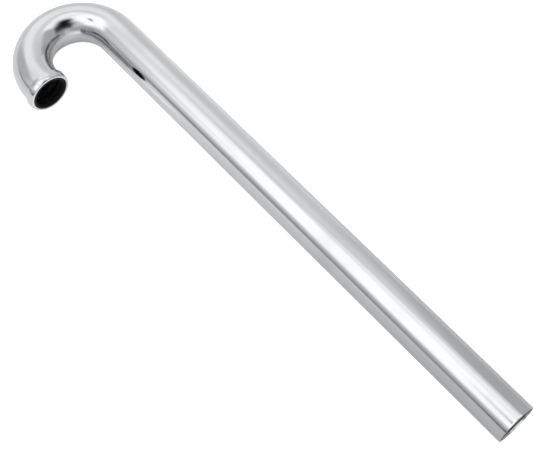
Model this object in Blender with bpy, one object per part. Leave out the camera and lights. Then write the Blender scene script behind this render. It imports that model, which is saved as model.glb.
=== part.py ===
"""Tubular drain trap: a long straight leg, a tight return bend and a short collared mouth.

The part is drawn lying on its side on a flat surface, as it would lie on a bench: the long leg runs
along +X, the bend is at -X and the short leg lies parallel to the long one on its -Y side. Both open
ends face +X. Everything is built in the tube's own plane and then laid down by one empty, which turns
it a little about the long leg, because the collar is wider than the tube and holds the bend up.
"""

import math

import bmesh
import bpy
from mathutils import Matrix, Vector

# Driving dimensions, in metres.
TUBE_OD = 0.03175  # 1-1/4 in drain tube
TUBE_WALL = 0.00115  # 17 gauge drawn brass
LEG_LENGTH = 0.4191  # straight leg, from the bend's tangent line to the cut end
LEG_SPACING = 0.0720  # between the axes of the two legs
BEND_FLATTENING = 0.07  # share of the tube's width lost in the middle of the bend
CUT_CHAMFER = 0.0002  # deburred edges of the long leg's cut end
BARE_STUB = 0.0045  # straight tube between the bend and the back of the collar
COLLAR_LENGTH = 0.0065  # along the tube
COLLAR_WALL = 0.0013  # thickness of the sleeve around the tube
COLLAR_LIP = 0.0012  # thickness of the front lip that covers the tube's end
COLLAR_CROWN = 0.0060  # radius of the crowned front half of the collar's outside
COLLAR_CROWN_TURN = math.radians(30)  # how far the crown turns in before the front edge
COLLAR_ROUND = 0.0006  # radius of the collar's outer front edge
COLLAR_BACK_CHAMFER = 0.0003
SEAL_WALL = 0.0014  # rubber sleeve inside the mouth
SEAL_PROUD = 0.0004  # how far the rubber stands out of the collar
SEAL_SETBACK = 0.0020  # from the bend's tangent line to the seal's inner end
SEAL_RIBS = 2
RIB_HEIGHT = 0.0005
GAP = 0.0003  # clearance between neighbouring pieces

# Fineness of the round shapes.
SEGMENTS = 48
BEND_STEPS = 24
ROUND_STEPS = 4

# Sizes that follow from the ones above.
TUBE_R = TUBE_OD / 2
BORE_R = TUBE_R - TUBE_WALL
BEND_R = LEG_SPACING / 2
COLLAR_BORE_R = TUBE_R + GAP
COLLAR_R = COLLAR_BORE_R + COLLAR_WALL
MOUTH_X = BARE_STUB + COLLAR_LENGTH  # the collar's front face
STUB_END_X = MOUTH_X - COLLAR_LIP - GAP  # the tube's end, behind the lip
SHORT_LEG_Y = -LEG_SPACING
SEAL_R = BORE_R - GAP
LAY_ANGLE = -math.asin((COLLAR_R - TUBE_R) / LEG_SPACING)


def clear_scene():
    for obj in list(bpy.data.objects):
        bpy.data.objects.remove(obj, do_unlink=True)


def make_material(name, colour, metallic, roughness):
    material = bpy.data.materials.new(name)
    material.use_nodes = True
    shader = material.node_tree.nodes["Principled BSDF"]
    shader.inputs["Base Color"].default_value = (*colour, 1.0)
    shader.inputs["Metallic"].default_value = metallic
    shader.inputs["Roughness"].default_value = roughness
    material.diffuse_color = (*colour, 1.0)
    return material


def add_object(name, bm, material, parent):
    """Close the mesh, point its faces outwards and put it under the laying-down empty."""
    bmesh.ops.remove_doubles(bm, verts=bm.verts[:], dist=1e-6)
    bmesh.ops.recalc_face_normals(bm, faces=bm.faces[:])
    mesh = bpy.data.meshes.new(name)
    bm.to_mesh(mesh)
    bm.free()
    mesh.materials.append(material)
    mesh.shade_smooth()
    mesh.set_sharp_from_angle(angle=math.radians(30))
    obj = bpy.data.objects.new(name, mesh)
    bpy.context.collection.objects.link(obj)
    obj.parent = parent
    return obj


def turned(profile, axis_y):
    """A ring turned about the line y = axis_y from a closed outline of (x, radius) points."""
    bm = bmesh.new()
    verts = [bm.verts.new((x, axis_y + radius, 0.0)) for x, radius in profile]
    edges = [bm.edges.new((a, b)) for a, b in zip(verts, verts[1:] + verts[:1])]
    bmesh.ops.spin(
        bm,
        geom=verts + edges,
        cent=(0.0, axis_y, 0.0),
        axis=(1.0, 0.0, 0.0),
        angle=2 * math.pi,
        steps=SEGMENTS,
        use_merge=True,
    )
    return bm


def arc(centre_x, centre_r, radius, start, end):
    """Points of (x, radius) along an arc; the angle is 0 straight out from the axis and grows towards +x."""
    turns = [start + (end - start) * step / ROUND_STEPS for step in range(ROUND_STEPS + 1)]
    return [(centre_x + radius * math.sin(turn), centre_r + radius * math.cos(turn)) for turn in turns]


def tube_section(bm):
    """The tube's cut section, a flat ring of faces around the long leg's axis on the tangent line."""
    facing_x = Matrix.Rotation(math.pi / 2, 4, "Y")
    edges = set()
    for radius in (TUBE_R, BORE_R):
        circle = bmesh.ops.create_circle(bm, segments=SEGMENTS, radius=radius, matrix=facing_x)
        edges.update(edge for vert in circle["verts"] for edge in vert.link_edges)
    bmesh.ops.bridge_loops(bm, edges=list(edges))


def pieces_of(geom, kind):
    return [item for item in geom if isinstance(item, kind)]


def make_long_leg(material, parent):
    outer_chamfer = TUBE_R - CUT_CHAMFER
    inner_chamfer = BORE_R + CUT_CHAMFER
    profile = [
        (GAP, TUBE_R),
        (LEG_LENGTH - CUT_CHAMFER, TUBE_R),
        (LEG_LENGTH, outer_chamfer),
        (LEG_LENGTH, inner_chamfer),
        (LEG_LENGTH - CUT_CHAMFER, BORE_R),
        (GAP, BORE_R),
    ]
    return add_object("long_leg", turned(profile, 0.0), material, parent)


def flatten_bend(bm):
    """Draw the section in across the bend, most in its middle, where bending squeezes a real tube."""
    for vert in bm.verts:
        if vert.co.x < 0.0:
            from_centre = Vector((vert.co.x, vert.co.y + BEND_R))
            sine_squared = (from_centre.x / from_centre.length) ** 2
            loss = BEND_FLATTENING * sine_squared * (2.0 - sine_squared)
            offset = from_centre.length - BEND_R
            from_centre.length = BEND_R + offset * (1.0 - loss)
            vert.co.xy = (from_centre.x, from_centre.y - BEND_R)


def make_return_bend(material, parent):
    """The tube's section swung half a turn around the bend, then drawn out along the short leg."""
    bm = bmesh.new()
    tube_section(bm)
    bend = bmesh.ops.spin(
        bm,
        geom=bm.verts[:] + bm.edges[:] + bm.faces[:],
        cent=(0.0, -BEND_R, 0.0),
        axis=(0.0, 0.0, 1.0),
        angle=math.pi,
        steps=BEND_STEPS,
    )
    bend_end = pieces_of(bend["geom_last"], bmesh.types.BMFace)
    stub = bmesh.ops.extrude_face_region(bm, geom=bend_end)
    stub_verts = pieces_of(stub["geom"], bmesh.types.BMVert)
    bmesh.ops.translate(bm, verts=stub_verts, vec=(STUB_END_X, 0.0, 0.0))
    bmesh.ops.delete(bm, geom=bend_end, context="FACES")
    flatten_bend(bm)
    return add_object("return_bend", bm, material, parent)


def make_mouth_collar(material, parent):
    back_x = BARE_STUB
    shoulder_x = STUB_END_X + GAP
    crown_reach = COLLAR_CROWN - COLLAR_ROUND
    crown_x = MOUTH_X - COLLAR_ROUND - crown_reach * math.sin(COLLAR_CROWN_TURN)
    crown_r = COLLAR_R - COLLAR_CROWN
    round_x = MOUTH_X - COLLAR_ROUND
    round_r = crown_r + crown_reach * math.cos(COLLAR_CROWN_TURN)
    crown = arc(crown_x, crown_r, COLLAR_CROWN, 0.0, COLLAR_CROWN_TURN)
    rounded = arc(round_x, round_r, COLLAR_ROUND, COLLAR_CROWN_TURN, math.pi / 2)
    profile = [
        (back_x, COLLAR_BORE_R),
        (back_x, COLLAR_R - COLLAR_BACK_CHAMFER),
        (back_x + COLLAR_BACK_CHAMFER, COLLAR_R),
        *crown,
        *rounded[1:],
        (MOUTH_X, BORE_R),
        (shoulder_x, BORE_R),
        (shoulder_x, COLLAR_BORE_R),
    ]
    return add_object("mouth_collar", turned(profile, SHORT_LEG_Y), material, parent)


def make_mouth_seal(material, parent):
    front_x = MOUTH_X + SEAL_PROUD
    back_x = SEAL_SETBACK
    inner_r = SEAL_R - SEAL_WALL
    pitch = (front_x - back_x) / SEAL_RIBS
    edge = SEAL_WALL / 3
    profile = [
        (back_x, SEAL_R),
        (front_x - edge, SEAL_R),
        (front_x, SEAL_R - edge),
        (front_x, inner_r + edge),
    ]
    for rib in range(SEAL_RIBS):
        crest_x = front_x - pitch * (rib + 0.5)
        profile.append((crest_x + pitch / 4, inner_r))
        profile.append((crest_x, inner_r - RIB_HEIGHT))
        profile.append((crest_x - pitch / 4, inner_r))
    profile.append((back_x, inner_r))
    return add_object("mouth_seal", turned(profile, SHORT_LEG_Y), material, parent)


def make_laying_empty():
    """The tube's plane, laid down so that the long leg and the collar both rest on z = 0.

    It also brings the middle of the whole part's box over the origin.
    """
    bend_reach = BEND_R + TUBE_R * (1.0 - BEND_FLATTENING)
    middle_x = (LEG_LENGTH - bend_reach) / 2
    middle_y = (TUBE_R - LEG_SPACING * math.cos(LAY_ANGLE) - COLLAR_R) / 2
    empty = bpy.data.objects.new("laid_on_its_side", None)
    bpy.context.collection.objects.link(empty)
    empty.location = (-middle_x, -middle_y, TUBE_R)
    empty.rotation_euler = (LAY_ANGLE, 0.0, 0.0)
    return empty


def main():
    clear_scene()
    chrome = make_material("plated_tube", (0.78, 0.79, 0.81), 1.0, 0.12)
    collar_chrome = make_material("plated_collar", (0.80, 0.80, 0.81), 1.0, 0.18)
    rubber = make_material("seal_rubber", (0.012, 0.012, 0.013), 0.0, 0.55)
    laid = make_laying_empty()
    make_long_leg(chrome, laid)
    make_return_bend(chrome, laid)
    make_mouth_collar(collar_chrome, laid)
    make_mouth_seal(rubber, laid)


main()
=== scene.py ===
# %% [markdown]
# # A chromed drain trap, lying on its side
#
# The tube of a sink trap is one length of thin drawn brass. It is bent cold into a tight half turn, a
# turned ring is brazed around the end of its short leg, the whole is polished and chrome plated, and a
# rubber ring is pushed into its mouth. This notebook makes four pieces: the tube, the turned ring, the braze
# that joins them and the rubber ring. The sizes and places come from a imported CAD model, the frame, which is
# loaded first and is never moved or changed.

# %% Load the frame
import math

import bmesh
import bpy
from mathutils import Matrix, Vector


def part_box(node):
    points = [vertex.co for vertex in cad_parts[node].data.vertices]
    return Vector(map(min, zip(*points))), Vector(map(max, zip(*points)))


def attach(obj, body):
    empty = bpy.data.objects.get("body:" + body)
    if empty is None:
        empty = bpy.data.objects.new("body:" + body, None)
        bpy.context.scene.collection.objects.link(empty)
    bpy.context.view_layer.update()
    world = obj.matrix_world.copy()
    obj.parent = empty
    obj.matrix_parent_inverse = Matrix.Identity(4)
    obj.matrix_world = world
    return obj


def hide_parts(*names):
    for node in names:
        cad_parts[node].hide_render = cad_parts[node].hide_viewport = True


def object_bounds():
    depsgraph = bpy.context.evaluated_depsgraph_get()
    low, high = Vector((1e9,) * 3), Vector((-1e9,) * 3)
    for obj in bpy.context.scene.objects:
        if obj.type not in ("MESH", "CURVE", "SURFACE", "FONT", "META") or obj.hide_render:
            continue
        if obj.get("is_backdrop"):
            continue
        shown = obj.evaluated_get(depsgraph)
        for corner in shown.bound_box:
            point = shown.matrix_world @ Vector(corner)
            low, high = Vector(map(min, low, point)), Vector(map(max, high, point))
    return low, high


MM = 0.001

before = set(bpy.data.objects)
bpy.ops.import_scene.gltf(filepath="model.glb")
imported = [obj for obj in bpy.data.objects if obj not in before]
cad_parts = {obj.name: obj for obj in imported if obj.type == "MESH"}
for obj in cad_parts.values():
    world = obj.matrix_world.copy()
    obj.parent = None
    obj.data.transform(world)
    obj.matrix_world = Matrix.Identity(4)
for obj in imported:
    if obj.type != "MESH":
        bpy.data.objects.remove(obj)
cad_low, cad_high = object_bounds()
print("nodes:", ", ".join(sorted(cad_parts)))
print("overall size, mm:", [round(side / MM, 1) for side in cad_high - cad_low])

# %% [markdown]
# ## Reading the sizes from the frame
#
# A turned piece has an axis. On a ring with an even number of sides the axis passes through the middle of
# its box, and the nearest and farthest vertices from the axis give the bore and the outside. Measuring them
# here means that a change in the CAD model reaches every piece below without a number being typed twice.
# The CAD tube is split at the tangent line, where the bend starts, and the long leg starts just past it.

# %% Measure the tube, the collar and the seal
SPLIT_GAP = 0.0003  # how far past the tangent line the CAD model's long leg starts


def axis_middle(node):
    """Middle of a node's box in Y and Z, where a ring turned about an X axis has its axis."""
    low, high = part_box(node)
    return Vector((0.0, (low.y + high.y) / 2, (low.z + high.z) / 2))


def radii(node):
    """Smallest and largest distance of a node's vertices from its X axis."""
    middle = axis_middle(node)
    spans = [(v.co.yz - middle.yz).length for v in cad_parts[node].data.vertices]
    return min(spans), max(spans)


long_axis, short_axis = axis_middle("long_leg"), axis_middle("mouth_collar")
bore_r, tube_r = radii("long_leg")
collar_lip_r, collar_r = radii("mouth_collar")
seal_crest_r, seal_r = radii("mouth_seal")

leg_spacing = (long_axis - short_axis).length
bend_r = leg_spacing / 2
bend_low, bend_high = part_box("return_bend")
leg_low, leg_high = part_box("long_leg")
collar_back, collar_front = (corner.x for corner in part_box("mouth_collar"))
seal_back, seal_front = (corner.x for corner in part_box("mouth_seal"))
tangent_x = leg_low.x - SPLIT_GAP
leg_length = leg_high.x - tangent_x
stub_length = bend_high.x - tangent_x
flattening = 1 - (tangent_x - bend_low.x - bend_r) / tube_r
print(f"tube {tube_r / MM:.3f} mm radius, bore {bore_r / MM:.3f}, legs {leg_spacing / MM:.1f} apart")
print(f"long leg {leg_length / MM:.1f} mm, short leg {stub_length / MM:.1f} mm")
print(f"the bend squeezes the tube by {100 * flattening:.1f} percent")

# %% [markdown]
# The collar is wider than the tube, so on a table the trap leans a little: the plane through both legs is
# turned about the long leg. Each piece is drawn in that plane, with the bend's tangent line at x = 0 and the
# long leg along X, and then its mesh, not its object, is laid down. Every finished object stays at the
# origin, unturned, which keeps the patterns of its material in place.


# %% The laying-down matrix
lean = math.atan2(long_axis.z - short_axis.z, long_axis.y - short_axis.y)
laid_down = Matrix.Translation((tangent_x, long_axis.y, long_axis.z)) @ Matrix.Rotation(lean, 4, "X")
print(f"the trap leans {math.degrees(lean):.2f} degrees onto its collar")

# %% [markdown]
# ## Small helpers for node trees
#
# Shaders and Geometry Nodes are both trees of nodes. `add_node` adds one and fills its sockets with numbers
# or with links. The others are the nodes that come up again and again: a step of arithmetic, a smooth ramp,
# a blend of two numbers or of two colours. Each returns the socket that holds its result.


# %% Node helpers
def add_node(tree, kind, inputs=None, **settings):
    """A new node with its settings, and its inputs set by name or number to values or other sockets."""
    node = tree.nodes.new(kind)
    for name, value in settings.items():
        setattr(node, name, value)
    for key, value in (inputs or {}).items():
        if isinstance(value, bpy.types.NodeSocket):
            tree.links.new(value, node.inputs[key])
        else:
            node.inputs[key].default_value = value
    return node


def calc(tree, operation, *terms):
    """One Math node; returns its output socket."""
    return add_node(tree, "ShaderNodeMath", dict(enumerate(terms)), operation=operation).outputs[0]


def vector_calc(tree, operation, *terms):
    """One Vector Math node; returns the output that its operation uses."""
    node = add_node(tree, "ShaderNodeVectorMath", dict(enumerate(terms)), operation=operation)
    return node.outputs["Value" if operation in ("DOT_PRODUCT", "LENGTH") else "Vector"]


def ramp(tree, value, low, high, to_low=0.0, to_high=1.0):
    """A smooth step of value from to_low at low to to_high at high."""
    node = add_node(
        tree,
        "ShaderNodeMapRange",
        {"Value": value, "From Min": low, "From Max": high, "To Min": to_low, "To Max": to_high},
        interpolation_type="SMOOTHSTEP",
    )
    return node.outputs["Result"]


def blend_numbers(tree, share, low, high):
    """The number low where share is 0, high where it is 1."""
    return add_node(tree, "ShaderNodeMix", {0: share, 2: low, 3: high}, data_type="FLOAT").outputs[0]


def blend_colours(tree, share, low, high):
    """The colour low where share is 0, high where it is 1."""
    return add_node(tree, "ShaderNodeMix", {0: share, 6: low, 7: high}, data_type="RGBA").outputs[2]


print("node helpers are ready")

# %% [markdown]
# ## The camera
#
# The trap is seen from above and from the side of its mouth, from less than a metre away, so the near parts
# look larger. The camera stands at a point and is turned in three steps, like a head on a tripod: round the
# upright axis, then tilted down, then rolled a little about its own line of sight.

# %% Place the camera
CAMERA_PLACE = (0.3025, -0.2495, 0.7408)
CAMERA_TURN = math.radians(47.41)
CAMERA_TILT = math.radians(28.10)
CAMERA_ROLL = math.radians(1.08)
CAMERA_LENS = 78.31

camera_data = bpy.data.cameras.new("camera")
camera_data.lens = CAMERA_LENS
camera_data.sensor_fit = "HORIZONTAL"
camera_data.clip_start, camera_data.clip_end = 0.05, 50.0
camera = bpy.data.objects.new("camera", camera_data)
bpy.context.scene.collection.objects.link(camera)
camera.matrix_world = (
    Matrix.Translation(CAMERA_PLACE)
    @ Matrix.Rotation(CAMERA_TURN, 4, "Z")
    @ Matrix.Rotation(CAMERA_TILT, 4, "X")
    @ Matrix.Rotation(CAMERA_ROLL, 4, "Z")
)
bpy.context.scene.camera = camera
print("camera is", round((camera.location - (cad_low + cad_high) / 2).length, 3), "m from the middle")

# %% [markdown]
# ## The studio
#
# Chrome has hardly any colour of its own: what shows is the room. In this studio a wide soft box hangs over
# the tube, pale walls stand around it, and a few dark cards draw lines along the tube, because without them
# it would vanish into the white. Lamps could do this, but soft-edged cards painted on the sky are exact and
# free of noise. The sky is a gradient by height. Each card faces the tube from one heading and height, and
# covers a rectangle of directions that fades out over a soft edge. The camera itself sees a plain white
# backdrop in place of the sky.

# %% Sky gradient and studio cards
SKY_TOP = 1.25  # brightness where the gradient below is 1
SKY_STOPS = (  # sine of the height above the horizon, share of SKY_TOP
    (-1.0, 0.70),
    (0.0, 0.80),
    (0.34, 0.74),
    (0.50, 0.75),
    (0.68, 0.82),
    (0.87, 0.86),
    (1.0, 1.0),
)
STUDIO_CARDS = (  # what, heading and height, half width and half height, soft edge, brightness; in degrees
    ("soft box overhead", -97, 59, 28, 28, 18, 1.76),
    ("grey ceiling beyond the soft box", 148, 63, 9, 6, 8, 1.00),
    ("far end of the soft box", 115, 80, 12, 9, 8, 1.55),
    ("lamp head in front of the soft box", -95, 61, 3, 6, 5, 0.36),
    ("white wall behind the bend", 161, 39, 20, 21, 20, 1.36),
    ("small white card", 61, 64, 13, 7, 12, 1.60),
    ("grey wall by the short leg", -151, 23, 19, 22, 18, 0.70),
    ("dim strip along the front", -70, 10, 60, 13, 20, 0.58),
    ("thin dark strip along the front", -112, 8, 34, 3, 6, 0.42),
    ("thin darker strip towards the tail", -84, 8, 12, 3, 8, 0.03),
    ("dim strip behind", 50, 11, 50, 15, 20, 0.54),
    ("dark card by the tail", 3, 35, 27, 17, 20, 0.12),
    ("black card by the tail", 3, 52, 14, 20, 18, 0.01),
)


def studio_card(tree, sky, direction, heading, height, half_wide, half_tall, soft, brightness):
    """Blend a soft-edged rectangle of this brightness into the sky."""
    heading, height = math.radians(heading), math.radians(height)
    turned_to = Matrix.Rotation(heading, 3, "Z") @ Matrix.Rotation(-height, 3, "Y")
    facing, aside, above = (vector_calc(tree, "DOT_PRODUCT", direction, axis) for axis in turned_to.col)
    share = 1.0
    for offset, half in ((aside, half_wide), (above, half_tall)):
        angle = calc(tree, "ABSOLUTE", calc(tree, "ARCTAN2", offset, facing))
        inside = ramp(tree, angle, math.radians(half - soft / 2), math.radians(half + soft / 2), 1.0, 0.0)
        share = calc(tree, "MULTIPLY", inside, share)
    return blend_numbers(tree, share, sky, brightness)


world = bpy.data.worlds.new("studio")
bpy.context.scene.world = world
world.use_nodes = True
sky_tree = world.node_tree
sky_tree.nodes.clear()
direction = add_node(sky_tree, "ShaderNodeTexCoord").outputs["Generated"]
upward = add_node(sky_tree, "ShaderNodeSeparateXYZ", {0: direction}).outputs["Z"]
sky_ramp = add_node(sky_tree, "ShaderNodeValToRGB", {0: calc(sky_tree, "MULTIPLY_ADD", upward, 0.5, 0.5)})
while len(sky_ramp.color_ramp.elements) < len(SKY_STOPS):
    sky_ramp.color_ramp.elements.new(0.5)
for element, (sine, share) in zip(sky_ramp.color_ramp.elements, SKY_STOPS):
    element.position = sine / 2 + 0.5
    element.color = (share, share, share, 1.0)
sky = calc(sky_tree, "MULTIPLY", sky_ramp.outputs["Color"], SKY_TOP)
for _, *card in STUDIO_CARDS:
    sky = studio_card(sky_tree, sky, direction, *card)
reflected = add_node(sky_tree, "ShaderNodeBackground", {"Color": sky})
backdrop = add_node(sky_tree, "ShaderNodeBackground", {"Color": (1.0, 1.0, 1.0, 1.0)})
seen_directly = add_node(sky_tree, "ShaderNodeLightPath").outputs["Is Camera Ray"]
both_skies = {0: seen_directly, 1: reflected.outputs[0], 2: backdrop.outputs[0]}
sky_mix = add_node(sky_tree, "ShaderNodeMixShader", both_skies)
add_node(sky_tree, "ShaderNodeOutputWorld", {"Surface": sky_mix.outputs[0]})
bpy.context.scene.view_settings.view_transform = "Standard"
print("studio:", ", ".join(card[0] for card in STUDIO_CARDS))

# %% [markdown]
# The floor is a sheet of white acrylic on a light table, large enough that the tube never reflects its
# edge. Lit from below it is almost free of shadow, and only a faint grey stays where the tube touches it.
# In the chrome it shows as a pale sheet that grows a little dimmer towards the tail, with one brighter
# patch in front of the mouth, where a lamp under the sheet stands.

# %% Floor
FLOOR_HALF = 4.0  # half of the sheet's side
FLOOR_ROUGHNESS = 0.9
FLOOR_GLOW = 0.80  # what the table's lamps add to the floor as the camera sees it
MIRRORED_GLOW = 0.14  # what they add in reflections by the bend; it fades out towards the tail
MIRRORED_RISE = 0.08  # length over which it comes up, under the bend
LAMP_PLACE = (-0.150, -0.040, 0.0)
LAMP_GLOW = 0.36
LAMP_FADE = (0.010, 0.038)  # distances from the lamp where its patch starts and stops fading
# Painted shade: the sheet's colour darkens from the bend's end to the tail's end, as if less light fell on it
# there.
FLOOR_TONE_PAINTED_SHADE = (0.97, 0.75)  # how pale the sheet is at the bend's end and at the tail's end


def new_material(name):
    """A material with only a Principled shader; returns it, its tree and its shader."""
    material = bpy.data.materials.new(name)
    material.use_nodes = True
    tree = material.node_tree
    return material, tree, tree.nodes["Principled BSDF"]


def flat_sheet(name, corners, material):
    """A sheet with one face."""
    mesh = bpy.data.meshes.new(name)
    mesh.from_pydata(corners, [], [range(len(corners))])
    mesh.materials.append(material)
    sheet = bpy.data.objects.new(name, mesh)
    bpy.context.scene.collection.objects.link(sheet)
    return sheet


def white_acrylic():
    material, tree, shader = new_material("white_acrylic")
    shader.inputs["Roughness"].default_value = FLOOR_ROUGHNESS
    shader.inputs["Specular IOR Level"].default_value = 0.0
    shader.inputs["Emission Color"].default_value = (1.0, 1.0, 1.0, 1.0)
    where = add_node(tree, "ShaderNodeTexCoord").outputs["Object"]
    along = add_node(tree, "ShaderNodeSeparateXYZ", {0: where}).outputs["X"]
    # The sheet's colour darkens towards the tail: painted shade.
    tree.links.new(ramp(tree, along, cad_low.x, cad_high.x, *FLOOR_TONE_PAINTED_SHADE), shader.inputs["Base Color"])
    from_lamp = vector_calc(tree, "LENGTH", vector_calc(tree, "SUBTRACT", where, LAMP_PLACE))
    rising = ramp(tree, along, cad_low.x - MIRRORED_RISE / 2, cad_low.x + MIRRORED_RISE / 2)
    falling = ramp(tree, along, cad_low.x, cad_high.x, MIRRORED_GLOW, 0.0)
    patch = ramp(tree, from_lamp, *LAMP_FADE, LAMP_GLOW, 0.0)
    mirrored = calc(tree, "MULTIPLY_ADD", rising, falling, patch)
    seen_directly = add_node(tree, "ShaderNodeLightPath").outputs["Is Camera Ray"]
    glow = blend_numbers(tree, seen_directly, mirrored, FLOOR_GLOW)
    tree.links.new(glow, shader.inputs["Emission Strength"])
    return material


floor_corners = [(x * FLOOR_HALF, y * FLOOR_HALF, 0.0) for x, y in ((-1, -1), (1, -1), (1, 1), (-1, 1))]
floor = flat_sheet("floor", floor_corners, white_acrylic())
floor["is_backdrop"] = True
print("floor is", 2 * FLOOR_HALF, "m wide")

# %% [markdown]
# One card stands behind the leg, so it is a real sheet and not a patch of the sky: it has to dim the far
# side of the leg's end and leave the bend alone. The camera looks through it, and its end by the bend and
# its top fade out.

# %% Standing card
CARD_Y = 0.65
CARD_X = (-0.18, 0.10, 0.80)  # where it starts, where it is full, where it ends
CARD_Z = (0.0, 0.95, 1.15)  # its foot, where it starts fading, its top
CARD_TONE = 0.66


def grey_card():
    material = bpy.data.materials.new("grey_card")
    material.use_nodes = True
    tree = material.node_tree
    tree.nodes.clear()
    where = add_node(tree, "ShaderNodeTexCoord").outputs["Object"]
    split = add_node(tree, "ShaderNodeSeparateXYZ", {0: where}).outputs
    past_start = ramp(tree, split["X"], CARD_X[0], CARD_X[1])
    below_top = ramp(tree, split["Z"], CARD_Z[1], CARD_Z[2], 1.0, 0.0)
    share = calc(tree, "MULTIPLY", past_start, below_top)
    clear = add_node(tree, "ShaderNodeBsdfTransparent")
    grey = add_node(tree, "ShaderNodeEmission", {"Color": (CARD_TONE, CARD_TONE, CARD_TONE, 1.0)})
    card_mix = add_node(tree, "ShaderNodeMixShader", {0: share, 1: clear.outputs[0], 2: grey.outputs[0]})
    add_node(tree, "ShaderNodeOutputMaterial", {"Surface": card_mix.outputs[0]})
    return material


card_start, card_end = CARD_X[0], CARD_X[2]
card_foot, card_top = CARD_Z[0], CARD_Z[2]
card_sides = ((card_start, card_foot), (card_end, card_foot), (card_end, card_top), (card_start, card_top))
standing_card = flat_sheet("standing_card", [(x, CARD_Y, z) for x, z in card_sides], grey_card())
standing_card.visible_camera = False
standing_card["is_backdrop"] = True
print(f"the standing card is {card_end - card_start:.2f} m wide")

# %% [markdown]
# ## Chrome on drawn and polished brass
#
# Plating copies the metal under it. The tube was drawn through a die and then buffed along its length, so
# under the mirror there are hair-fine lines that run with the tube and follow it round the bend. Broader
# than those, the wall is never quite flat, which makes long reflections waver. On top lie a few light
# handling scratches and the haze of a wiping cloth. Each of these is a few nodes in the material, driven by
# `drawn`: the place that a point had on the tube while it was still straight. A pattern on that attribute
# bends with the tube and has no seam, which a UV map would have.


# %% Helpers for metal finishes
SCRATCH_WIDTH = 0.012  # share of a cell
SCRATCH_STRETCH = 9.0  # how much longer a cell is than wide
SCRATCH_PATCHES = 1.7  # how much finer the patches are than the cells
SCRATCH_FADE = 0.07  # how softly a scratch ends


def stored_place(tree, name):
    """The place that each point had before it was bent or laid down, from an attribute."""
    return add_node(tree, "ShaderNodeAttribute", attribute_name=name).outputs["Vector"]


def noise(tree, where, scale, stretch=(1.0, 1.0, 1.0), detail=3.0, roughness=0.5):
    """Noise of so many grains per metre, squeezed by stretch along each axis."""
    squeezed = vector_calc(tree, "MULTIPLY", where, stretch)
    node = add_node(
        tree,
        "ShaderNodeTexNoise",
        {"Vector": squeezed, "Scale": scale, "Detail": detail, "Roughness": roughness},
    )
    return node.outputs["Fac"]


def scratches(tree, where, scale, lean_by, share):
    """Thin broken lines: the borders of long cells, kept only where a second noise is high."""
    turning = {"Vector": where, "Rotation": lean_by, "Scale": (1.0, SCRATCH_STRETCH, 1.0)}
    turned = add_node(tree, "ShaderNodeMapping", turning)
    cells = add_node(
        tree,
        "ShaderNodeTexVoronoi",
        {"Vector": turned.outputs[0], "Scale": scale},
        feature="DISTANCE_TO_EDGE",
    )
    line = ramp(tree, cells.outputs["Distance"], 0.0, SCRATCH_WIDTH, 1.0, 0.0)
    patches = noise(tree, where, scale * SCRATCH_PATCHES)
    kept = ramp(tree, patches, 1.0 - share, 1.0 - share + SCRATCH_FADE)
    return calc(tree, "MULTIPLY", line, kept)


def stack_bumps(tree, layers):
    """Bump nodes one on another: each layer is (height socket, depth in metres)."""
    normal = None
    for height, depth in layers:
        inputs = {"Height": height, "Distance": depth, "Strength": 1.0}
        if normal is not None:
            inputs["Normal"] = normal
        normal = add_node(tree, "ShaderNodeBump", inputs).outputs["Normal"]
    return normal


print("scratches follow cells that are", SCRATCH_STRETCH, "times as long as wide")

# %% [markdown]
# The chrome's colour is a mid-grey with a trace of blue, because polished chromium gives back a little over
# half of the light. Its roughness is low and uneven: buffing lines and cloth haze lift it in places. The
# two bumps that matter most are the long waver of the wall, less than a tenth of a millimetre deep, and the
# fine lines, a thousandth or two. A mirror shows even that. The collar is plated too, so what both share is
# one function, which gets the haze, the faults that dull the mirror and the bumps.

# %% Plating
CHROME_CLEAN = (0.560, 0.566, 0.580, 1.0)
CHROME_HAZED = (0.500, 0.503, 0.512, 1.0)
MARK_DULL = 0.15  # roughness that a scratch adds


def plate(tree, shader, hazed, haze_tint, roughness, faults, bumps):
    """Chrome; each fault is (where it is, the roughness it adds), each bump (height, depth in metres)."""
    tint = blend_colours(tree, calc(tree, "MULTIPLY", hazed, haze_tint), CHROME_CLEAN, CHROME_HAZED)
    tree.links.new(tint, shader.inputs["Base Color"])
    shader.inputs["Metallic"].default_value = 1.0
    for where, added in faults:
        roughness = calc(tree, "MULTIPLY_ADD", where, added, roughness)
    tree.links.new(roughness, shader.inputs["Roughness"])
    tree.links.new(stack_bumps(tree, bumps), shader.inputs["Normal"])


print("clean chrome gives back", CHROME_CLEAN[0], "of red light and", CHROME_CLEAN[2], "of blue")

# %% [markdown]
# On the tube the lines run along it, and two sets of scratches cross them at different slants.

# %% The tube's chrome
TUBE_CLEAN_DULL = 0.050  # roughness where nothing dulls the mirror
TUBE_HAZE_DULL = 0.09
TUBE_LINE_DULL = 0.05
TUBE_HAZE_TINT = 0.6
TUBE_WAVER = 85e-6
TUBE_LINES = 1.6e-6
TUBE_PITS = 4e-6
TUBE_MARKS = 6e-6


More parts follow.
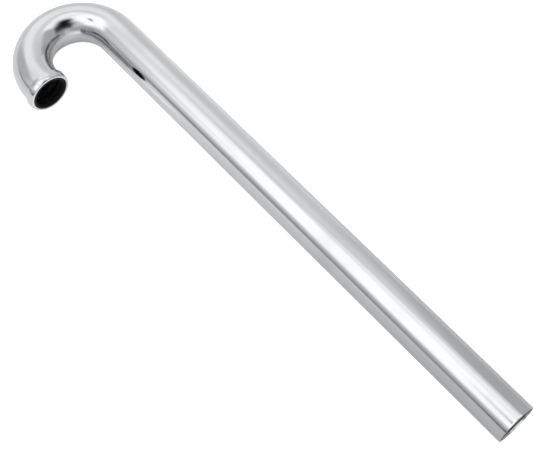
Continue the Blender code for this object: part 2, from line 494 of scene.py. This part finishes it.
def chrome_tube():
    material, tree, shader = new_material("chrome_buffed_along_tube")
    where = stored_place(tree, "drawn")
    waver = noise(tree, where, 70.0, (0.35, 1.0, 1.0), detail=1.0)
    lines = noise(tree, where, 1900.0, (0.02, 1.0, 1.0), detail=4.0, roughness=0.65)
    haze = noise(tree, where, 38.0, (0.6, 1.0, 1.0), detail=5.0, roughness=0.6)
    specks = noise(tree, where, 2600.0, detail=1.0)
    steep_marks = scratches(tree, where, 60.0, (0.0, 0.0, 0.35), 0.34)
    flat_marks = scratches(tree, where, 85.0, (0.4, 0.2, -0.8), 0.30)
    marks = calc(tree, "MAXIMUM", steep_marks, flat_marks)
    unmarked = calc(tree, "SUBTRACT", 1.0, marks)
    pits = ramp(tree, specks, 0.74, 0.80, 1.0, 0.0)
    hazed = ramp(tree, haze, 0.42, 0.72)
    faults = ((hazed, TUBE_HAZE_DULL), (lines, TUBE_LINE_DULL), (marks, MARK_DULL))
    bumps = ((waver, TUBE_WAVER), (lines, TUBE_LINES), (pits, TUBE_PITS), (unmarked, TUBE_MARKS))
    plate(tree, shader, hazed, TUBE_HAZE_TINT, TUBE_CLEAN_DULL, faults, bumps)
    return material


tube_chrome = chrome_tube()
print("made", tube_chrome.name)

# %% [markdown]
# ## The bore
#
# Plating reaches only a little way into a tube. Deeper in, the brass keeps the brown of its oxide and the
# grey bloom of the plating bath, and its colour is darkened further with painted shade, so a look down
# the mouth meets darkness. `drawn` gives the distance from both ends, so the chrome can fade out where
# the bath stopped.


# %% Bare brass inside the tube
# Both bore colours are oxidised brass darkened further with painted shade of the inside of the tube.
BRASS_OXIDE_PAINTED_SHADE = (0.020, 0.015, 0.011, 1.0)
BRASS_WORN_PAINTED_SHADE = (0.075, 0.052, 0.030, 1.0)
PLATED_DEPTH = 0.012  # how far in from an end the chrome is whole, at most
PLATED_FADE = 0.010  # length over which it gives way to brass
PLATED_DULL = 0.2
BARE_DULL = (0.45, 0.70)
BARE_METALLIC = 0.6


def bore_brass():
    material, tree, shader = new_material("bore_brass")
    where = stored_place(tree, "drawn")
    cloud = noise(tree, where, 160.0, (0.4, 1.0, 1.0), detail=5.0, roughness=0.65)
    draw_lines = noise(tree, where, 1500.0, (0.03, 1.0, 1.0), detail=3.0)
    patina = calc(tree, "MULTIPLY_ADD", draw_lines, 0.35, calc(tree, "SUBTRACT", cloud, 0.2))
    # The blend of the two bore colours carries their painted shade.
    brass = blend_colours(tree, ramp(tree, patina, 0.35, 0.75), BRASS_OXIDE_PAINTED_SHADE, BRASS_WORN_PAINTED_SHADE)
    along = add_node(tree, "ShaderNodeSeparateXYZ", {0: where}).outputs["X"]
    tube_length = stub_length + math.pi * bend_r + leg_length
    from_end = calc(tree, "MINIMUM", along, calc(tree, "SUBTRACT", tube_length, along))
    depth = calc(tree, "MULTIPLY_ADD", cloud, PLATED_FADE, from_end)
    plated = ramp(tree, depth, PLATED_DEPTH, PLATED_DEPTH + PLATED_FADE, 1.0, 0.0)
    tree.links.new(blend_colours(tree, plated, brass, CHROME_HAZED), shader.inputs["Base Color"])
    metallic = calc(tree, "MULTIPLY_ADD", plated, 1.0 - BARE_METALLIC, BARE_METALLIC)
    tree.links.new(metallic, shader.inputs["Metallic"])
    bare_dull = ramp(tree, cloud, 0.3, 0.7, *BARE_DULL)
    tree.links.new(blend_numbers(tree, plated, bare_dull, PLATED_DULL), shader.inputs["Roughness"])
    tree.links.new(stack_bumps(tree, ((draw_lines, 8e-6), (cloud, 30e-6))), shader.inputs["Normal"])
    return material


bore_metal = bore_brass()
print("made", bore_metal.name)

# %% [markdown]
# ## The tube
#
# A bender doesn't model a bend: a straight tube is drawn first and then wrapped around a former. The same
# order works in Geometry Nodes. First a grid is rolled into a straight closed tube. One direction of the
# grid goes round the axis, the other follows the outline of the wall, which is a long thin rectangle with
# small rounded corners: out along the skin, over the deburred edge and back along the bore. Then one rule
# moves every point to where the bender would leave it. A swept curve would be shorter to write, but it has
# no wall, no deburred edge and no flattening in the bend.
#
# The rule: a point's place along the tube gives the angle that it has travelled round the former, from 0
# at the short leg to half a turn at the long one, and its place across the section stays as it was. In the
# bend the section is squeezed across, most in its middle, while the former's groove keeps its height. Faint
# ripples stay on the inner side, where the wall is pressed together.

# %% Sizes of the drawn tube
TUBE_SIDES = 96
TUBE_STEP = 0.0016  # length of a face along the tube
TUBE_DEBURR = 0.00025
RIPPLE_HEIGHT = 0.000035
RIPPLE_COUNT = 13.0
MERGE_DISTANCE = 1e-6
BORE_SHARE = 0.75  # a face deeper in the wall than this share of it is bore
tube_inputs = {
    "Stub Length": stub_length,
    "Bend Radius": bend_r,
    "Leg Length": leg_length,
    "Tube Radius": tube_r,
    "Wall": tube_r - bore_r,
    "Deburr": TUBE_DEBURR,
    "Step": TUBE_STEP,
    "Sides": TUBE_SIDES,
    "Flattening": flattening,
    "Ripple Height": RIPPLE_HEIGHT,
    "Ripple Count": RIPPLE_COUNT,
}


def new_geometry_tree(name, inputs):
    """An empty Geometry Nodes group with one named input for each entry; whole numbers become integers."""
    tree = bpy.data.node_groups.new(name, "GeometryNodeTree")
    tree.interface.new_socket("Geometry", in_out="OUTPUT", socket_type="NodeSocketGeometry")
    for label, value in inputs.items():
        kind = "NodeSocketInt" if isinstance(value, int) else "NodeSocketFloat"
        tree.interface.new_socket(label, in_out="INPUT", socket_type=kind)
    return tree, add_node(tree, "NodeGroupInput").outputs


def moved_points(tree, geometry, **moves):
    """The geometry with its points at a new Position or moved by an Offset."""
    return add_node(tree, "GeometryNodeSetPosition", {"Geometry": geometry, **moves}).outputs[0]


def point_count(tree, curve):
    counted = add_node(tree, "GeometryNodeAttributeDomainSize", {0: curve}, component="CURVE")
    return counted.outputs["Point Count"]


tube_tree, tube_size = new_geometry_tree("drawn_and_bent_tube", tube_inputs)
print("the tree's inputs:", ", ".join(tube_inputs))

# %% [markdown]
# The wall's outline lies flat: x along the tube, y away from its axis. Its long sides need many points,
# because the rule can only bend what has points, and its rounded corners need few. Subdividing each segment
# by its own length gives both.


# %% The wall's outline
def wall_outline(tree, size):
    """A closed curve around the wall's section, from the short leg's end to the long leg's."""
    total = calc(tree, "MULTIPLY_ADD", size["Bend Radius"], math.pi, size["Stub Length"])
    total = calc(tree, "ADD", total, size["Leg Length"])
    middle_r = calc(tree, "MULTIPLY_ADD", size["Wall"], -0.5, size["Tube Radius"])
    centre = add_node(tree, "ShaderNodeCombineXYZ", {"X": calc(tree, "MULTIPLY", total, 0.5), "Y": middle_r})
    sides = {"Width": total, "Height": size["Wall"]}
    rectangle = add_node(tree, "GeometryNodeCurvePrimitiveQuadrilateral", sides)
    rounded = add_node(
        tree,
        "GeometryNodeFilletCurve",
        {"Curve": rectangle.outputs[0], "Radius": size["Deburr"], "Count": 3, "Limit Radius": True},
        mode="POLY",
    )
    placed = moved_points(tree, rounded.outputs[0], Offset=centre.outputs[0])
    number = add_node(tree, "GeometryNodeInputIndex").outputs[0]
    here = add_node(tree, "GeometryNodeInputPosition").outputs[0]
    following = calc(tree, "MODULO", calc(tree, "ADD", number, 1.0), point_count(tree, placed))
    next_point = {"Index": following, "Value": here}
    there = add_node(tree, "GeometryNodeFieldAtIndex", next_point, data_type="FLOAT_VECTOR").outputs[0]
    length = vector_calc(tree, "LENGTH", vector_calc(tree, "SUBTRACT", there, here))
    cuts = calc(tree, "ROUND", calc(tree, "DIVIDE", length, size["Step"]))
    return add_node(tree, "GeometryNodeSubdivideCurve", {"Curve": placed, "Cuts": cuts}).outputs[0]


outline = wall_outline(tube_tree, tube_size)
print("the outline took", len(tube_tree.nodes), "nodes")

# %% [markdown]
# The grid's points are numbered column by column. The whole part of number / rows tells how far round the
# axis a point belongs, and the remainder says which outline point it copies. The last row and the last
# column land on the first ones and are merged, which closes the shape.


# %% Roll the outline into a straight tube
def rolled_tube(tree, size, outline):
    """A closed mesh: the outline turned about the X axis, with its straight place stored as `drawn`."""
    points = point_count(tree, outline)
    rows = calc(tree, "ADD", points, 1.0)
    columns = calc(tree, "ADD", size["Sides"], 1.0)
    grid = add_node(tree, "GeometryNodeMeshGrid", {"Vertices X": columns, "Vertices Y": rows})
    number = add_node(tree, "GeometryNodeInputIndex").outputs[0]
    column = calc(tree, "FLOOR", calc(tree, "DIVIDE", calc(tree, "ADD", number, 0.5), rows))
    row = calc(tree, "ROUND", calc(tree, "SUBTRACT", number, calc(tree, "MULTIPLY", column, rows)))
    turn = calc(tree, "DIVIDE", calc(tree, "MULTIPLY", column, 2 * math.pi), size["Sides"])
    here = add_node(tree, "GeometryNodeInputPosition").outputs[0]
    copied = add_node(
        tree,
        "GeometryNodeSampleIndex",
        {"Geometry": outline, "Value": here, "Index": calc(tree, "MODULO", row, points)},
        data_type="FLOAT_VECTOR",
    )
    split = add_node(tree, "ShaderNodeSeparateXYZ", {0: copied.outputs[0]}).outputs
    place = add_node(
        tree,
        "ShaderNodeCombineXYZ",
        {
            "X": split["X"],
            "Y": calc(tree, "MULTIPLY", split["Y"], calc(tree, "COSINE", turn)),
            "Z": calc(tree, "MULTIPLY", split["Y"], calc(tree, "SINE", turn)),
        },
    )
    rolled = moved_points(tree, grid.outputs["Mesh"], Position=place.outputs[0])
    merging = {"Geometry": rolled, "Distance": MERGE_DISTANCE}
    closed = add_node(tree, "GeometryNodeMergeByDistance", merging)
    stored = add_node(
        tree,
        "GeometryNodeStoreNamedAttribute",
        {"Geometry": closed.outputs[0], "Name": "drawn", "Value": here},
        data_type="FLOAT_VECTOR",
        domain="POINT",
    )
    return stored.outputs[0]


straight_tube = rolled_tube(tube_tree, tube_size, outline)
print("rolled into a tube of", TUBE_SIDES, "sides, after", len(tube_tree.nodes), "nodes")

# %% [markdown]
# Now the bender's rule. `travel` is the angle round the former. Before the bend and after it the angle
# stands still and the rest of the length runs straight on along X.

# %% Bend the straight tube
RIPPLE_STARTS, RIPPLE_FULL = -0.35, -0.95  # places across the section, in tube radii


def bent_tube(tree, size, straight):
    here = add_node(tree, "GeometryNodeInputPosition").outputs[0]
    split = add_node(tree, "ShaderNodeSeparateXYZ", {0: here}).outputs
    along, across, up = split["X"], split["Y"], split["Z"]
    past_stub = calc(tree, "SUBTRACT", along, size["Stub Length"])
    angle = calc(tree, "DIVIDE", past_stub, size["Bend Radius"])
    travel = calc(tree, "MINIMUM", calc(tree, "MAXIMUM", angle, 0.0), math.pi)
    sine, cosine = calc(tree, "SINE", travel), calc(tree, "COSINE", travel)

    sine_squared = calc(tree, "MULTIPLY", sine, sine)
    rise = calc(tree, "MULTIPLY", sine_squared, calc(tree, "SUBTRACT", 2.0, sine_squared))
    kept = calc(tree, "SUBTRACT", 1.0, calc(tree, "MULTIPLY", rise, size["Flattening"]))
    across = calc(tree, "MULTIPLY", across, kept)

    side = calc(tree, "DIVIDE", across, size["Tube Radius"])
    inner_side = ramp(tree, side, RIPPLE_STARTS, RIPPLE_FULL)
    half_waves = calc(tree, "MULTIPLY", size["Ripple Count"], 2.0)
    wave = calc(tree, "SINE", calc(tree, "MULTIPLY", travel, half_waves))
    ripple = calc(tree, "MULTIPLY", calc(tree, "MULTIPLY", wave, size["Ripple Height"]), sine)
    across = calc(tree, "MULTIPLY_ADD", ripple, inner_side, across)

    reach = calc(tree, "ADD", across, size["Bend Radius"])
    before = calc(tree, "MAXIMUM", calc(tree, "SUBTRACT", size["Stub Length"], along), 0.0)
    leg_start = calc(tree, "MULTIPLY", size["Bend Radius"], math.pi)
    after = calc(tree, "MAXIMUM", calc(tree, "SUBTRACT", past_stub, leg_start), 0.0)
    x = calc(tree, "SUBTRACT", calc(tree, "ADD", before, after), calc(tree, "MULTIPLY", reach, sine))
    y = calc(tree, "MULTIPLY", calc(tree, "MULTIPLY_ADD", reach, cosine, size["Bend Radius"]), -1.0)
    place = add_node(tree, "ShaderNodeCombineXYZ", {"X": x, "Y": y, "Z": up})
    return moved_points(tree, straight, Position=place.outputs[0])


bent = bent_tube(tube_tree, tube_size, straight_tube)
print(f"bent through {math.degrees(math.pi):.0f} degrees on a radius of {bend_r / MM:.1f} mm")

# %% [markdown]
# The faces choose their metal by their distance from the straight tube's axis: what lies in the inner quarter
# of the wall is bore. The tree ends in Realize Instances and Set Material. It is run on an empty object, its
# result is kept as a plain mesh, and the modifier is dropped. The mesh is then laid down, and its faces are
# turned outwards.


# %% Choose the metals and make the tube
def finish_tube_tree(tree, size, tube):
    """Smooth shading, then the chrome on every face and the brass on those of the bore."""
    smooth = add_node(tree, "GeometryNodeSetShadeSmooth", {"Geometry": tube, "Shade Smooth": True})
    real = add_node(tree, "GeometryNodeRealizeInstances", {"Geometry": smooth.outputs[0]})
    named = {"Name": "drawn"}
    straight_place = add_node(tree, "GeometryNodeInputNamedAttribute", named, data_type="FLOAT_VECTOR")
    straight_yz = vector_calc(tree, "MULTIPLY", straight_place.outputs[0], (0.0, 1.0, 1.0))
    from_axis = vector_calc(tree, "LENGTH", straight_yz)
    bore_limit = calc(tree, "SUBTRACT", size["Tube Radius"], calc(tree, "MULTIPLY", size["Wall"], BORE_SHARE))
    compared = {0: from_axis, 1: bore_limit}
    in_bore = add_node(tree, "FunctionNodeCompare", compared, data_type="FLOAT", operation="LESS_THAN")
    skin = add_node(tree, "GeometryNodeSetMaterial", {"Geometry": real.outputs[0], "Material": tube_chrome})
    both = add_node(
        tree,
        "GeometryNodeSetMaterial",
        {"Geometry": skin.outputs[0], "Selection": in_bore.outputs[0], "Material": bore_metal},
    )
    add_node(tree, "NodeGroupOutput", {0: both.outputs[0]})


def from_geometry_tree(name, tree, inputs):
    """Run a tree on an empty object, keep its result as a plain mesh and drop the modifier."""
    piece = bpy.data.objects.new(name, bpy.data.meshes.new(name))
    bpy.context.scene.collection.objects.link(piece)
    modifier = piece.modifiers.new(name, "NODES")
    modifier.node_group = tree
    for socket in tree.interface.items_tree:
        if socket.in_out == "INPUT":
            modifier[socket.identifier] = inputs[socket.name]
    depsgraph = bpy.context.evaluated_depsgraph_get()
    evaluated = piece.evaluated_get(depsgraph)
    made = bpy.data.meshes.new_from_object(evaluated, preserve_all_data_layers=True, depsgraph=depsgraph)
    piece.modifiers.remove(modifier)
    piece.data = made
    made.name = name
    return piece


def point_outwards(mesh):
    bm = bmesh.new()
    bm.from_mesh(mesh)
    bmesh.ops.recalc_face_normals(bm, faces=bm.faces[:])
    bm.to_mesh(mesh)
    bm.free()


finish_tube_tree(tube_tree, tube_size, bent)
drain_tube = from_geometry_tree("drain_tube", tube_tree, tube_inputs)
drain_tube.data.transform(laid_down)
point_outwards(drain_tube.data)
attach(drain_tube, "root")
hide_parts("long_leg", "return_bend")
tube_mesh = drain_tube.data
print(drain_tube.name, "has", len(tube_mesh.polygons), "faces and", len(tube_mesh.materials), "metals")

# %% [markdown]
# ## Turned pieces
#
# The collar, its braze and the rubber ring are round, so each is an outline spun about the short leg's
# axis. An outline has corner points, and `arc` fills in a rounded corner from its centre, radius and two
# angles. The spin's seam is merged first and the normals are recalculated after that, so that the faces
# point outwards. The straight place of each point goes into the attribute `turned`: x along the axis, then
# y and z across it. Lathe lines and mould marks follow it.


# %% Lathe helpers
LATHE_SIDES = 128


def arc(centre, radius, start, end, steps):
    """Points of an arc between two angles in degrees; 0 points along the axis, 90 away from it."""
    turns = [math.radians(start + (end - start) * step / steps) for step in range(steps + 1)]
    return [(centre[0] + radius * math.cos(turn), centre[1] + radius * math.sin(turn)) for turn in turns]


def lathe(name, outline, material, sharp=35.0):
    """Spin a closed outline of (x in the frame, radius) around the short leg's axis."""
    bm = bmesh.new()
    verts = [bm.verts.new((x - tangent_x, radius, 0.0)) for x, radius in outline]
    edges = [bm.edges.new(pair) for pair in zip(verts, verts[1:] + verts[:1])]
    bmesh.ops.spin(
        bm,
        geom=verts + edges,
        cent=(0.0, 0.0, 0.0),
        axis=(1.0, 0.0, 0.0),
        angle=2 * math.pi,
        steps=LATHE_SIDES,
        use_merge=True,
    )
    bmesh.ops.remove_doubles(bm, verts=bm.verts[:], dist=MERGE_DISTANCE)
    bmesh.ops.recalc_face_normals(bm, faces=bm.faces[:])
    mesh = bpy.data.meshes.new(name)
    bm.to_mesh(mesh)
    bm.free()
    place = mesh.attributes.new("turned", "FLOAT_VECTOR", "POINT")
    for vertex in mesh.vertices:
        place.data[vertex.index].vector = vertex.co
    mesh.transform(laid_down @ Matrix.Translation((0.0, -leg_spacing, 0.0)))
    mesh.materials.append(material)
    mesh.shade_smooth()
    mesh.set_sharp_from_angle(angle=math.radians(sharp))
    piece = bpy.data.objects.new(name, mesh)
    bpy.context.scene.collection.objects.link(piece)
    return piece


print("turned pieces get", LATHE_SIDES, "sides")

# %% [markdown]
# ## The collar
#
# The collar is a ring turned from brass and brazed around the tube's end. A slip nut pulls against it, so
# it is thicker than the tube and its front half is crowned, to seat well in the nut. A lathe leaves rings
# around it and on its face, where the tube has lines along it: that change of direction is what makes it
# read as a separate part. The ring pattern is a noise that reads only the distance from the axis and the
# place along it, so it is the same all the way round.

# %% Lathe-finished chrome
COLLAR_CLEAN_DULL = 0.07  # roughness where nothing dulls the mirror
COLLAR_HAZE_DULL = 0.08
COLLAR_RING_DULL = 0.08
COLLAR_HAZE_TINT = 0.7
COLLAR_WAVER = 25e-6
COLLAR_RINGS = 1.6e-6
COLLAR_MARKS = 4e-6


def chrome_lathe():
    material, tree, shader = new_material("chrome_lathe_turned")
    where = stored_place(tree, "turned")
    split = add_node(tree, "ShaderNodeSeparateXYZ", {0: where}).outputs
    from_axis = vector_calc(tree, "LENGTH", vector_calc(tree, "MULTIPLY", where, (0.0, 1.0, 1.0)))
    rings_at = add_node(tree, "ShaderNodeCombineXYZ", {"X": split["X"], "Y": from_axis})
    rings = noise(tree, rings_at.outputs[0], 5200.0, detail=3.0, roughness=0.6)
    haze = noise(tree, where, 210.0, detail=4.0, roughness=0.6)
    waver = noise(tree, where, 120.0, detail=1.0)
    marks = scratches(tree, where, 130.0, (0.3, 0.5, 0.9), 0.36)
    unmarked = calc(tree, "SUBTRACT", 1.0, marks)
    hazed = ramp(tree, haze, 0.40, 0.72)
    faults = ((hazed, COLLAR_HAZE_DULL), (rings, COLLAR_RING_DULL), (marks, MARK_DULL))
    bumps = ((waver, COLLAR_WAVER), (rings, COLLAR_RINGS), (unmarked, COLLAR_MARKS))
    plate(tree, shader, hazed, COLLAR_HAZE_TINT, COLLAR_CLEAN_DULL, faults, bumps)
    return material


collar_chrome = chrome_lathe()
print("made", collar_chrome.name)

# %% [markdown]
# The collar's outline starts at its seat on the tube and goes round: up the back, along the outside, over
# the crown and the rounded front edge, down the face, into the mouth and back along the lip's inner side.

# %% Turn the collar
COLLAR_CROWN = 0.0060
COLLAR_CROWN_TURN = 30.0  # degrees that the crown turns in before the front edge
COLLAR_ROUND = 0.0006
COLLAR_BACK_ROUND = 0.0003
COLLAR_LIP = 0.0012
COLLAR_CLEARANCE = 0.0003
LIP_ROUND = 0.0002

collar_seat_r = tube_r + COLLAR_CLEARANCE
lip_back = collar_front - COLLAR_LIP
front_edge_turn = 90.0 - COLLAR_CROWN_TURN
crown_reach = COLLAR_CROWN - COLLAR_ROUND
round_x = collar_front - COLLAR_ROUND
crown_x = round_x - crown_reach * math.cos(math.radians(front_edge_turn))
crown_r = collar_r - COLLAR_CROWN
round_r = crown_r + crown_reach * math.sin(math.radians(front_edge_turn))
collar_outline = [
    (collar_back, collar_seat_r),
    *arc((collar_back + COLLAR_BACK_ROUND, collar_r - COLLAR_BACK_ROUND), COLLAR_BACK_ROUND, 180, 90, 4),
    *arc((crown_x, crown_r), COLLAR_CROWN, 90, front_edge_turn, 10),
    *arc((round_x, round_r), COLLAR_ROUND, front_edge_turn, 0, 8)[1:],
    *arc((collar_front - LIP_ROUND, collar_lip_r + LIP_ROUND), LIP_ROUND, 0, -90, 4),
    (lip_back, collar_lip_r),
    (lip_back, collar_seat_r),
]
turned_collar = lathe("turned_collar", collar_outline, collar_chrome)
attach(turned_collar, "root")
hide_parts("mouth_collar")
print(f"collar {2 * collar_r / MM:.2f} mm across, {(collar_front - collar_back) / MM:.1f} mm long")

# %% [markdown]
# ## The braze
#
# Silver braze runs into the joint and leaves a small hollow fillet behind the collar. No buffing wheel gets
# into that corner, so it stays duller than the chrome. Its colour is a dark grey, darker in beads: painted
# shade of the corner behind the collar, so the joint shows as a dark, beaded line. On the model it is a thin
# ring that closes the gap between the collar and the tube.

# %% Braze fillet
BRAZE_LEG = 0.0006
BRAZE_DEPTH = 0.00004
# Both braze colours are far darker than the chrome: painted shade of the corner behind the collar.
BRAZE_GREY_PAINTED_SHADE = (0.20, 0.20, 0.205, 1.0)
BRAZE_DARK_PAINTED_SHADE = (0.05, 0.05, 0.052, 1.0)
BRAZE_DULL = (0.16, 0.34)


def braze_finish():
    material, tree, shader = new_material("chrome_over_braze")
    where = stored_place(tree, "turned")
    beads = noise(tree, where, 900.0, detail=3.0)
    shader.inputs["Metallic"].default_value = 1.0
    # Dark grey with darker beads: painted shade of the corner behind the collar.
    tree.links.new(blend_colours(tree, beads, BRAZE_GREY_PAINTED_SHADE, BRAZE_DARK_PAINTED_SHADE), shader.inputs["Base Color"])
    tree.links.new(ramp(tree, beads, 0.3, 0.7, *BRAZE_DULL), shader.inputs["Roughness"])
    tree.links.new(stack_bumps(tree, ((beads, 40e-6),)), shader.inputs["Normal"])
    return material


braze_outline = [
    (collar_back + BRAZE_LEG, tube_r - BRAZE_DEPTH),
    (collar_back + BRAZE_LEG, collar_seat_r + BRAZE_DEPTH),
    *arc((collar_back - BRAZE_LEG, tube_r + BRAZE_LEG + BRAZE_DEPTH), BRAZE_LEG, 0, -90, 5),
    (collar_back - BRAZE_LEG, tube_r - BRAZE_DEPTH),
]
braze_fillet = lathe("braze_fillet", braze_outline, braze_finish(), sharp=60.0)
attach(braze_fillet, "root")
print(f"braze fillet {BRAZE_LEG / MM:.1f} mm")

# %% [markdown]
# ## The sealing ring
#
# The mouth is closed around the drain pipe by a black rubber ring with two soft inner ribs. It is moulded,
# so its edges are round, its skin is matt with a fine grain, and dust settles on it as a grey bloom.

# %% Rubber
RUBBER_BLACK = (0.0045, 0.0045, 0.0048, 1.0)
RUBBER_BLOOM = (0.014, 0.014, 0.014, 1.0)
RUBBER_DULL = (0.62, 0.82)
RUBBER_GRAIN = 12e-6


def seal_rubber():
    material, tree, shader = new_material("moulded_black_rubber")
    where = stored_place(tree, "turned")
    grain = noise(tree, where, 3800.0, detail=2.0)
    bloom = noise(tree, where, 240.0, detail=5.0, roughness=0.6)
    tint = blend_colours(tree, ramp(tree, bloom, 0.45, 0.8), RUBBER_BLACK, RUBBER_BLOOM)
    tree.links.new(tint, shader.inputs["Base Color"])
    tree.links.new(ramp(tree, bloom, 0.3, 0.7, *RUBBER_DULL), shader.inputs["Roughness"])
    shader.inputs["Specular IOR Level"].default_value = 0.25
    tree.links.new(stack_bumps(tree, ((grain, RUBBER_GRAIN),)), shader.inputs["Normal"])
    return material


rubber = seal_rubber()
print("made", rubber.name)

# %% [markdown]
# The ring's ribs are one wave that runs along its inner skin: a cosine gives two soft crests with no corner.

# %% Rubber ring
SEAL_WALL = 0.0014
SEAL_RIBS = 2
RIB_STEPS = 12


def seal_outline():
    """Round front edge, then a wavy inner skin with one crest for each rib, then the plain back."""
    edge = SEAL_WALL / 2
    inner_r = seal_r - SEAL_WALL
    rib_height = inner_r - seal_crest_r
    run = seal_front - edge - seal_back
    points = [(seal_back, seal_r)]
    points += arc((seal_front - edge, seal_r - edge), edge, 90, -90, 10)
    steps = RIB_STEPS * SEAL_RIBS
    for step in range(1, steps):
        wave = (1 - math.cos(2 * math.pi * step / RIB_STEPS)) / 2
        points.append((seal_front - edge - run * step / steps, inner_r - rib_height * wave))
    points.append((seal_back, inner_r))
    return points


sealing_ring = lathe("sealing_ring", seal_outline(), rubber, sharp=50.0)
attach(sealing_ring, "root")
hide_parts("mouth_seal")
print(f"sealing ring stands {(seal_front - collar_front) / MM:.1f} mm out of the collar")

# %% [markdown]
# ## Check the size
#
# The visual model is meant to fill the same box as the CAD model. How much larger its box is on each side is
# printed.

# %% Sizes, then finish
visual_low, visual_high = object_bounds()
growth = (visual_high - visual_low) - (cad_high - cad_low)
print("visual model is larger than the frame by, mm:", [round(side / MM, 3) for side in growth])
